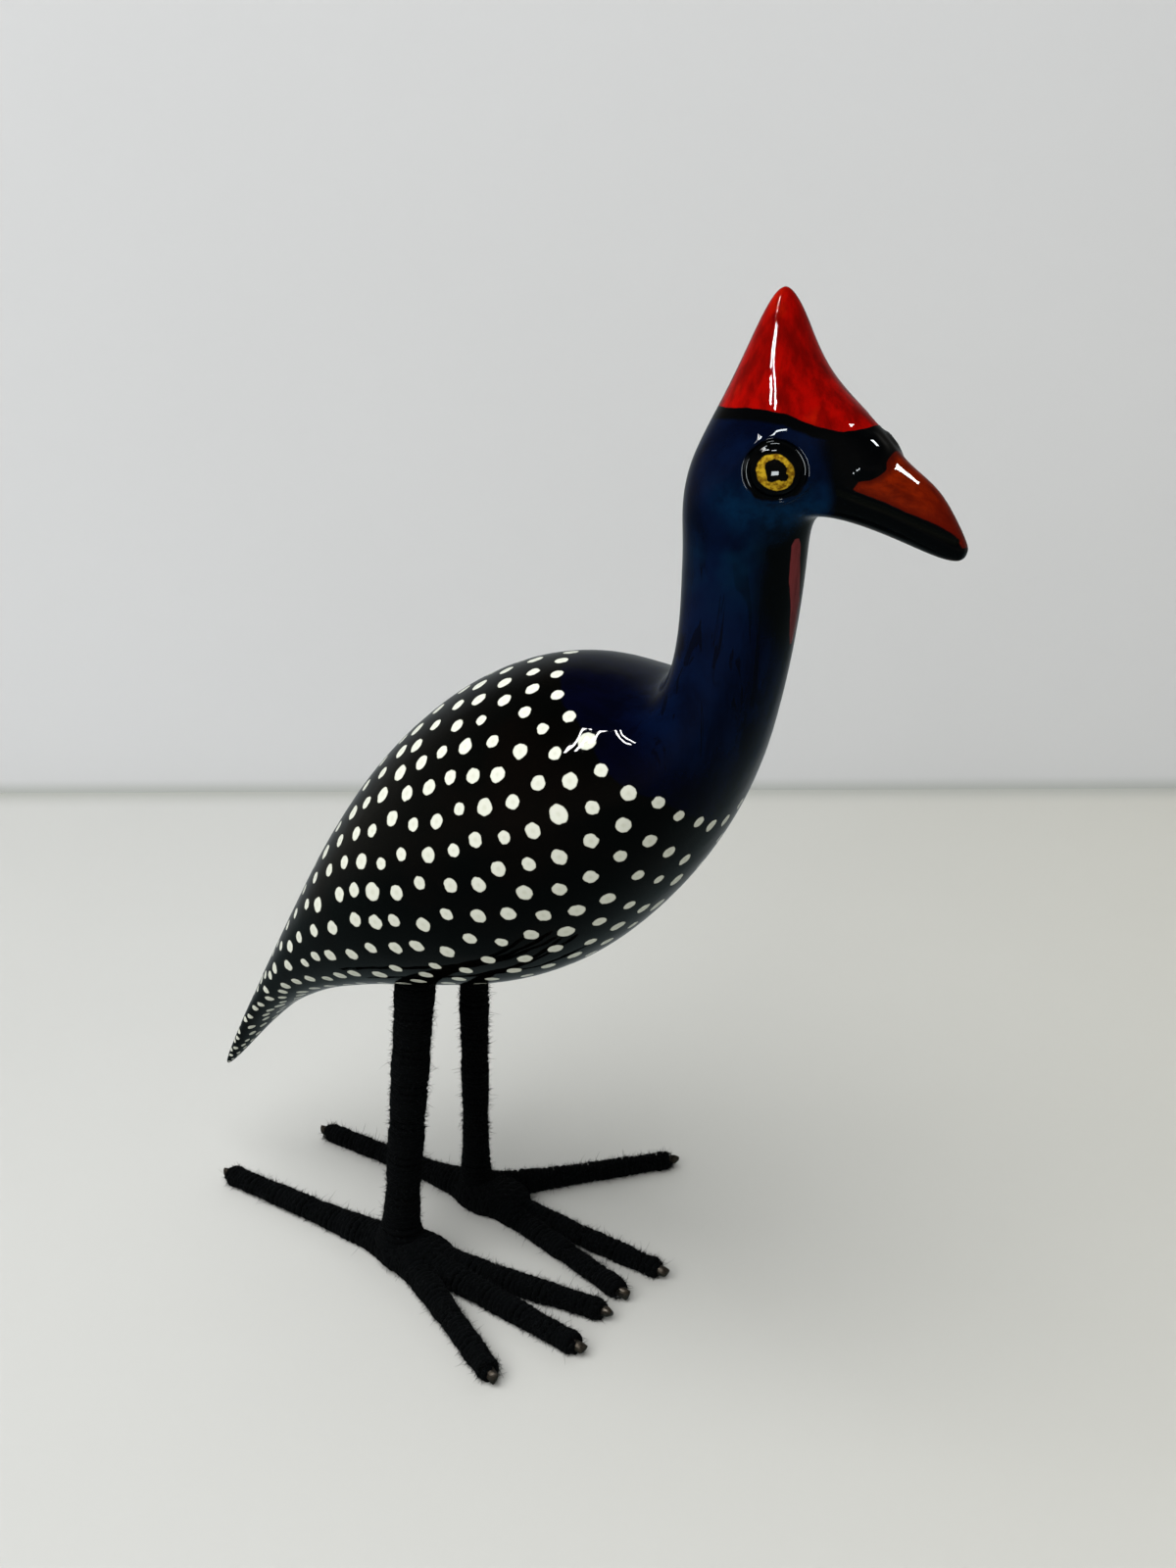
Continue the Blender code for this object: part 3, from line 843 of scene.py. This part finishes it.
class Pile:
    """Collects vertices and four-sided faces of several swept shapes."""

    def __init__(self):
        self.points, self.faces, self.count = [], [], 0

    def sweep(self, rings):
        """Closed tube through rings of shape (n, sides, 3), with an even number of sides."""
        n, sides, _ = rings.shape
        index = self.count + np.arange(n * sides).reshape(n, sides)
        after = np.roll(index, -1, axis=1)
        self.faces.append(np.stack((index[:-1], after[:-1], after[1:], index[1:]), -1).reshape(-1, 4))
        for row in (index[0][::-1], index[-1]):
            for k in range(1, sides - 1, 2):
                self.faces.append(np.array([[row[0], row[k], row[k + 1], row[k + 2]]]))
        self.points.append(rings.reshape(-1, 3))
        self.count += n * sides


def strand_rings(path, outwards, rng):
    """Rings of a two-ply strand along a path. outwards points away from what the yarn lies on."""
    along = np.concatenate(([0], np.cumsum(lengths_of(np.diff(path, axis=0)))))
    tangent = unit(np.gradient(path, axis=0))
    out = unit(outwards - (outwards * tangent).sum(1)[:, None] * tangent)
    sideways = np.cross(tangent, out)
    turn = 2 * np.pi * np.arange(STRAND_SIDES) / STRAND_SIDES
    phase = 2 * np.pi * along / PLY_LENGTH + rng.random() * 6
    lobes = 0.8 + 0.24 * np.abs(np.cos(turn[None, :] - phase[:, None])) ** 0.8
    uneven = 1 + 0.07 * np.sin(along / 2.3 + rng.random() * 6)
    uneven += 0.05 * np.sin(along / 0.9 + rng.random() * 6)
    size = STRAND_RADIUS * lobes * uneven[:, None]
    size[[0, -1]] *= 0.3
    ring = out[:, None] * np.cos(turn)[None, :, None] + sideways[:, None] * np.sin(turn)[None, :, None]
    return path[:, None, :] + ring * size[:, :, None]


def cross_axes(start, end):
    """Two directions square to the line from start to end, and the line's own."""
    axis = unit(end - start)
    level = np.array((0, 1, 0)) if abs(axis[2]) > 0.7 else np.array((0, 0, 1))
    across = unit(np.cross(axis, level))
    return across, np.cross(across, axis), axis


def spokes(across, over, angle):
    """Directions at some angles round an axis."""
    return across * np.cos(angle)[:, None] + over * np.sin(angle)[:, None]


def helix(start, end, radius_at, rng):
    """Path of yarn wound from start to end, and the direction outwards at each point of it."""
    across, over, axis = cross_axes(start, end)
    length = lengths_of(end - start)
    turns = (length - STRAND_RADIUS) / PITCH
    mean = float(np.mean(radius_at(np.linspace(0, 1, 20))))
    count = int(turns * 2 * math.pi * mean / SEGMENT)
    t = np.linspace(0, 1, count)
    bend = rng.random() * 6
    pace = t + 0.35 / turns * np.sin(t * turns * 0.9 + bend)
    angle = 2 * math.pi * turns * pace + bend
    radius = radius_at(t)
    lumps = 0.10 * np.sin(t * length / 2.9 + bend) + 0.08 * np.sin(t * length / 1.3 + 2 * bend)
    out = spokes(across, over, angle)
    tilt = 0.22 * np.sin(angle + bend)
    place = start + axis * (STRAND_RADIUS / 2 + t * (length - STRAND_RADIUS) + tilt)[:, None]
    return place + out * (radius - STRAND_RADIUS * 0.92 + lumps)[:, None], out


def round_tube(start, end, radii, rows=24):
    """Rings of a plain round tube."""
    across, over, _ = cross_axes(start, end)
    turn = 2 * np.pi * np.arange(TUBE_SIDES) / TUBE_SIDES
    ring = spokes(across, over, turn)
    t = np.linspace(0, 1, rows)
    middle = start + (end - start) * t[:, None]
    return middle[:, None, :] + ring[None] * radii(t)[:, None, None]


def leg_tracks(side, toe_radii, toes):
    """One leg's ankle, entry into the belly, way up and tips of the toes."""
    ankle = np.array((0, side * FOOT_SPREAD, toe_radii[0] - FOOT_FLAT))
    entry = np.array((LEG_TOP[0], side * LEG_TOP[1], LEG_TOP[2]))
    up = unit(entry - ankle)
    tips = []
    for length, heading in toes:
        turn = math.radians(heading)
        tip = ankle + np.array((math.cos(turn), math.sin(turn), 0)) * length
        tip[2] = toe_radii[1] - FOOT_FLAT
        tips.append(tip)
    return ankle, entry, up, tips


def wool_legs(side, leg_radii, toe_radii, toes, rng):
    """The wound yarn of one leg, and the surfaces that its loose fibres grow from."""
    ankle, entry, up, tips = leg_tracks(side, toe_radii, toes)
    pile, seats = Pile(), []

    def wind(start, end, radius_at):
        path, out = helix(start, end, radius_at, rng)
        pile.sweep(strand_rings(path, out, rng))
        pile.sweep(round_tube(start, end, lambda t: radius_at(t) - STRAND_RADIUS * 0.95))
        seats.append((start, end, radius_at))

    def shank(t):
        return leg_radii[1] + (leg_radii[0] - leg_radii[1]) * t + 2.2 * np.exp(-t * 16)

    def toe(t):
        body = toe_radii[0] + (toe_radii[1] - toe_radii[0]) * t
        swell = 0.16 * np.exp(-((t - 0.955) / 0.02) ** 2)
        return body + swell + 1.7 * np.exp(-t * 6.5) - np.clip((t - 0.975) / 0.025, 0, 1) ** 2

    wind(ankle + up, entry + up * YARN_SEAT_DEPTH, shank)
    for tip in tips:
        aim = unit(tip - ankle)
        wind(ankle + aim * TOE_START, tip - aim * BARE_TIP, toe)

    # the pad between the toes: three crossing layers of turns round a plain core
    middle = ankle + np.array((FOOT_PAD_FORWARD, 0, 0.2))
    for yaw, tip_up in PAD_LAYERS:
        turn = np.linspace(0, 1, 900)
        run = -0.93 + 1.86 * turn
        wide = np.sqrt(1 - run ** 2)
        angle = 2 * math.pi * PAD_TURNS * turn + yaw
        local = np.stack((run, wide * np.cos(angle), wide * np.sin(angle)), -1)
        c, s = math.cos(yaw), math.sin(yaw)
        spun = local @ np.array(((c, -s, 0), (s, c, 0), (tip_up, 0, 1))).T
        half = np.array(FOOT_PAD) - STRAND_RADIUS * 0.75
        pile.sweep(strand_rings(middle + spun * half, unit(spun / half), rng))
    run = -np.cos(math.pi * np.linspace(0, 1, 14))[:, None, None] * 0.999
    angle = 2 * np.pi * np.arange(TUBE_SIDES) / TUBE_SIDES
    circle = spokes(np.array((0, 1, 0)), np.array((0, 0, 1)), angle)
    core = run * (1, 0, 0) + np.sqrt(1 - run ** 2) * circle
    pile.sweep(core * (np.array(FOOT_PAD) - STRAND_RADIUS) + middle)
    points = np.concatenate(pile.points)
    # the turns under the foot are pressed flat on the floor
    pressed = 0.02 * np.abs(np.sin(points[:, 0] * 3))
    points[:, 2] = np.where(points[:, 2] < 0.05, pressed, points[:, 2])
    return points, np.concatenate(pile.faces), seats, middle


def fuzz(seats, middle, rng, count, lengths, rows, thick):
    """Loose fibres: thin three-sided hairs that leave the yarn at a slant, curl and end in a point."""
    weights = np.array([lengths_of(end - start) for start, end, _ in seats] + [PAD_SHARE])
    shares = (count * weights / weights.sum()).astype(int)
    grown = []
    for (start, end, radius_at), share in zip(seats, shares):
        across, over, axis = cross_axes(start, end)
        t, angle = rng.random(share), rng.random(share) * 2 * math.pi
        out = spokes(across, over, angle)
        root = start + (end - start) * t[:, None] + out * (radius_at(t) - ROOT_DEPTH)[:, None]
        grown.append((root, out, np.cross(axis, out), np.tile(axis, (share, 1))))
    out = unit(rng.normal(size=(shares[-1], 3)) + (0, 0, 0.5))
    around = unit(np.cross(out, (0.3, 0.5, 0.8)))
    grown.append((middle + out * (np.array(FOOT_PAD) - PAD_ROOT_DEPTH), out, around, np.cross(out, around)))
    grown = [np.concatenate(parts) for parts in zip(*grown)]
    clear = grown[0][:, 2] > LOWEST_ROOT
    root, out, around, axis = (part[clear] for part in grown)
    count = len(root)
    length = rng.uniform(*lengths, (count, 1))
    aim = unit(out * rng.uniform(0.35, 1, (count, 1)) + around * rng.normal(0.2, 0.7, (count, 1))
               + axis * rng.normal(0, 0.5, (count, 1)))
    curl = rng.normal(0, 0.8, (count, 3)) - out * 0.45
    u = np.linspace(0, 1, rows + 1)[None, :, None]
    path = root[:, None] + (aim[:, None] * u + curl[:, None] * u * u * 0.5) * length[:, None]
    path[:, :, 2] = np.maximum(path[:, :, 2], 0.06)
    side = unit(np.cross(aim, curl))
    other = np.cross(aim, side)
    size = thick * (1 - 0.6 * u[:, :-1])
    ring = np.stack([side * math.cos(a) + other * math.sin(a) for a in (0.5, 2.6, 4.7)], 1)
    rings = path[:, :-1, None] + ring[:, None] * size[..., None]
    points = np.concatenate((rings.reshape(count, rows * 3, 3), path[:, -1:]), 1)
    tip = rows * 3
    hair = [(2, 1, 0)]
    for low in range(0, tip, 3):
        for k in range(3):
            here, after = low + k, low + (k + 1) % 3
            if low + 3 < tip:
                hair += [(here, after, after + 3), (here, after + 3, here + 3)]
            else:
                hair.append((here, after, tip))
    faces = np.array(hair)[None] + np.arange(count)[:, None, None] * (tip + 1)
    return points.reshape(-1, 3), faces.reshape(-1, 3)


def wire_shapes(side, toe_radii, toes):
    """The wire of one leg, with each toe's end nipped to an edge."""
    ankle, entry, up, tips = leg_tracks(side, toe_radii, toes)
    pile = Pile()

    def radii(t):
        return np.full(len(t), WIRE_RADIUS)

    pile.sweep(round_tube(ankle, entry + up * SOCKET_DEPTH, radii, rows=8))
    for number, tip in enumerate(tips):
        rings = round_tube(ankle, tip, radii, rows=60)
        axis = unit(tip - ankle)
        middle = rings.mean(1)
        left = lengths_of(tip - middle)
        pinch = 1 - 0.55 * np.clip(1 - left / 1.1, 0, 1) ** 1.3
        roll = 0.5 + 0.9 * number
        across = unit(np.cross(axis, UP))
        over = np.cross(across, axis)
        thin = across * math.cos(roll) + over * math.sin(roll)
        offset = rings - middle[:, None, :]
        flat = (offset @ thin)[:, :, None] * thin
        pile.sweep(middle[:, None, :] + offset - flat * (1 - pinch)[:, None, None])
    return np.concatenate(pile.points), np.concatenate(pile.faces)


# Putting the bird together

random_hand = random.Random(SEED)
random_fibres = np.random.default_rng(SEED)
points, faces, station, angle, eyes = smooth_skin()
points = carve(points, faces, eyes)
low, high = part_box("carved_bird")
shift = np.array((high.x - points[:, 0].max() * MM, (low.y + high.y) / 2, 0))


def in_frame(shape):
    """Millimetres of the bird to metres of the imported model."""
    return np.asarray(shape) * MM + shift


bird = mesh_of("guinea_fowl_carving", in_frame(points), faces, lacquered_paint())
paint_bird(bird.data, points, faces, station, angle, eyes, random_hand)
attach(bird, "root")
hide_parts("carved_bird")

wool, hair, steel = black_wool(), loose_fibre(), nipped_steel()
for label, side, leg_radii, toe_radii, toes in LEGS:
    shape, skin, seats, middle = wool_legs(side, leg_radii, toe_radii, toes, random_hand)
    yarn = mesh_of(label + "_wound_yarn", in_frame(shape), skin, wool)
    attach(yarn, "root")
    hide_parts(label + "_leg_yarn")
    piles = [fuzz(seats, middle, random_fibres, *kind) for kind in FIBRES]
    (short_points, short_faces), (long_points, long_faces) = piles
    shape = np.concatenate((short_points, long_points))
    skin = np.concatenate((short_faces, long_faces + len(short_points)))
    loose = mesh_of(label + "_loose_fibres", in_frame(shape), skin, hair)
    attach(loose, "root")
    shape, skin = wire_shapes(side, toe_radii, toes)
    wire = mesh_of(label + "_nipped_wire", in_frame(shape), skin, steel)
    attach(wire, "root")
    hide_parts(label + "_leg_wire")

# Floor, wall, camera and light

CAMERA = (194.5, -233.9, 202)
YAW, TILT = math.radians(33.5), math.radians(18)
FOCAL = 1600  # in pixels of the 1200 x 1600 frame
FRAME_HEIGHT = 1600
SENSOR = 36
WALL_GAP = 0.613  # from the camera to the foot of the wall, along the floor
WALL_TURN = math.radians(0.75)
WALL_HEIGHT = 2.4
HALF_WIDTH = 3  # of floor and wall
FLOOR_NEAR, FLOOR_BEHIND = 3.5, 2  # how far the floor runs towards the camera and behind the wall
HEART = Vector((0.03, 0, 0.13))  # what the large lamps face
# darkest and lightest tone, and the painted shade at the seam between floor and wall
FLOOR_TONES_AND_SEAM_SHADE = (0.545, 0.55, 0.53), (0.575, 0.58, 0.56), (0.43, 0.44, 0.41)
WALL_TONES_AND_SEAM_SHADE = (0.69, 0.7, 0.712), (0.725, 0.735, 0.75), (0.54, 0.56, 0.545)
FLOOR_SHADOW_TINT = (1, 0.985, 0.93)  # painted warm tone of the shadow that falls on the floor at its right side
LAMP_BLUE = (0.9, 0.97, 1)

forward = Vector((-math.sin(YAW), math.cos(YAW), 0))
right = Vector((math.cos(YAW), math.sin(YAW), 0))
camera_data = bpy.data.cameras.new("camera")
camera_data.sensor_width = SENSOR
camera_data.lens = SENSOR * FOCAL / FRAME_HEIGHT
camera_data.clip_start, camera_data.clip_end = 0.01, 50
camera = linked("camera", camera_data)
look = forward * math.cos(TILT) - UP * math.sin(TILT)
over = forward * math.sin(TILT) + UP * math.cos(TILT)
turned = Matrix((right, over, -look)).transposed()
camera.matrix_world = Matrix.Translation(Vector(in_frame(CAMERA))) @ turned.to_4x4()
bpy.context.scene.camera = camera


def stage_finish(name, low, high, dark, aim, seam, roughness, tone=(1, 1, 1), seen_through=False):
    """A pale, slightly mottled matt surface with painted shade at the seam between floor and wall; a given
    tone is a painted warm shadow tone towards its right side.
    """
    s = Shader(name)
    mottled = s.noise(2.2, 3)
    away = s.dot(s.place, tuple(aim))
    # painted shade: darker in a band along the seam between floor and wall
    shade = s.times(s.step(away, seam[0], seam[1]), s.step(away, 2 * seam[1] - seam[0], seam[1]))
    # painted shadow tone: the floor turns warmer towards the right, where the shadow falls
    shadow_warmth = s.blend(s.dot(s.place, tuple(right)), -0.15, 0.35, (1, 1, 1), tone)
    colour = {0: s.blend(mottled, 0.25, 0.75, low, high), 1: shadow_warmth}
    colour = s.node("VectorMath", colour, operation="MULTIPLY").outputs["Vector"]
    rough = s.step(mottled, 0.2, 0.8, roughness, roughness + 0.08)
    # dark is the colour of the painted seam shade, mixed in by shade
    s.set(Base_Color=s.mix(shade, colour, dark), Roughness=rough, Specular_IOR_Level=0.25,
          Normal=s.bump(s.noise(700), 0.00004, 0.3))
    if seen_through:
        behind = s.node("NewGeometry").outputs["Backfacing"]
        clear = s.node("BsdfTransparent").outputs[0]
        either = s.node("MixShader", {0: behind, 1: s.surface.outputs[0], 2: clear})
        s.feed(s.tree.nodes["Material Output"].inputs["Surface"], either.outputs[0])
    return s.material


eye_point = camera.matrix_world.translation
foot = Vector((eye_point.x, eye_point.y, 0)) + forward * WALL_GAP
along_wall = Matrix.Rotation(WALL_TURN, 3, "Z") @ right
wall_aim = UP.cross(along_wall)
reach = foot.dot(wall_aim)
left_foot, right_foot = foot - along_wall * HALF_WIDTH, foot + along_wall * HALF_WIDTH
near, behind, top = -forward * FLOOR_NEAR, forward * FLOOR_BEHIND, UP * WALL_HEIGHT


def panel(name, corners, finish):
    made = mesh_of(name, corners, [(0, 1, 2, 3)], finish)
    made.visible_glossy = False
    made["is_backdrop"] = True


# floor and wall both get painted shade along their seam
panel("floor", (left_foot + near, right_foot + near, right_foot + behind, left_foot + behind),
      stage_finish("floor_finish", *FLOOR_TONES_AND_SEAM_SHADE, wall_aim, (reach - 0.02, reach + 0.002), 0.42, FLOOR_SHADOW_TINT))
panel("wall", (left_foot, right_foot, right_foot + top, left_foot + top),
      stage_finish("wall_finish", *WALL_TONES_AND_SEAM_SHADE, -UP, (-0.006, 0), 0.7, seen_through=True))


def area(name, where, towards, size, watts, colour=(1, 1, 1), mirrored=True):
    """A lamp with a face. A mirrored one is seen only in reflections, the other kind never is."""
    data = bpy.data.lights.new(name, "AREA")
    data.shape = "RECTANGLE"
    data.size, data.size_y = size
    data.energy = watts
    data.color = colour
    made = linked(name, data)
    made.location = where
    made.rotation_mode = "QUATERNION"
    made.rotation_quaternion = (Vector(where) - Vector(towards)).to_track_quat("Z", "Y")
    made.visible_glossy, made.visible_diffuse, made.visible_camera = mirrored, not mirrored, False
    return made


# tubes for the highlights on back and neck: (azimuth, elevation) of both ends from the bird
TUBES = (("tube_near", (-119, 43), (-139, 61)), ("tube_far", (-115.4, 45), (-135.4, 63)))
TUBE_DISTANCE, TUBE_WIDTH, TUBE_WATTS = 1.4, 0.02, 6


def strip(name, *angles):
    """A thin straight lamp between two places at some angles from the bird, facing it."""
    turns = (Euler((0, -math.radians(up), math.radians(about))) for about, up in angles)
    start, end = (turn.to_matrix().col[0] * TUBE_DISTANCE for turn in turns)
    along, back = (end - start).normalized(), (start + end).normalized()
    made = area(name, HEART + (start + end) / 2, HEART, ((end - start).length, TUBE_WIDTH), TUBE_WATTS)
    made.rotation_quaternion = Matrix((along, back.cross(along), back)).transposed().to_quaternion()


area("ceiling", (-0.2, -0.9, 1.55), HEART, (2.2, 2.2), 54, mirrored=False)
for tube in TUBES:
    strip(*tube)
# small lamps close to the head, each for one highlight in its lacquer: place, what it faces, size, power
GLINTS = (
    ("casque_glint_left", (58, -64.5, 242.6), (78, -5, 192), (3.5, 7.5), 0.024),
    ("casque_glint_right", (66, -66.2, 242.6), (78.5, -5.5, 192), (3, 7.5), 0.017),
    ("beak_glint", (114.7, -2.4, 204.2), (100.5, -2.4, 172.2), (7, 5), 0.014),
    ("eye_glint", (82.9, -19.8, 184), (81.3, -10.4, 176.7), (2.6, 1), 0.0008),
    ("pupil_glint", (84.8, -19.5, 168.2), (81.7, -11.1, 172.7), (2.4, 2), 0.0009),
)
for name, place, facing, (width, height), watts in GLINTS:
    size = width * MM, height * MM
    area(name, Vector(in_frame(place)), Vector(in_frame(facing)), size, watts, LAMP_BLUE)

# what the lacquer mirrors: a dark room that is a little lighter at the horizon, the table and the wall
world = bpy.data.worlds.new("room")
bpy.context.scene.world = world
world.use_nodes = True
HORIZON, ZENITH = (0.2, 0.195, 0.175), (0.05, 0.049, 0.045)
TABLE_TOP, FAR_WALL = (0.1, 0.13, 0.132), (0.22, 0.24, 0.245)
room = Nodes(world.node_tree)
direction = room.coordinates["Generated"]
height = room.node("SeparateXYZ", {"Vector": direction}).outputs["Z"]
seen = room.blend(height, -0.1, 0.9, HORIZON, ZENITH)
table = room.node("MapRange", {"Value": height, "From Min": -0.3, "From Max": -0.05}).outputs[0]
seen = room.mix(table, TABLE_TOP, seen)
ahead = room.dot(direction, tuple(forward))
seen = room.blend(ahead, 0.6, 0.92, seen, FAR_WALL)
room.feed(room.tree.nodes["Background"].inputs["Color"], seen)

bpy.context.scene.view_settings.view_transform = "Standard"

low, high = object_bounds()
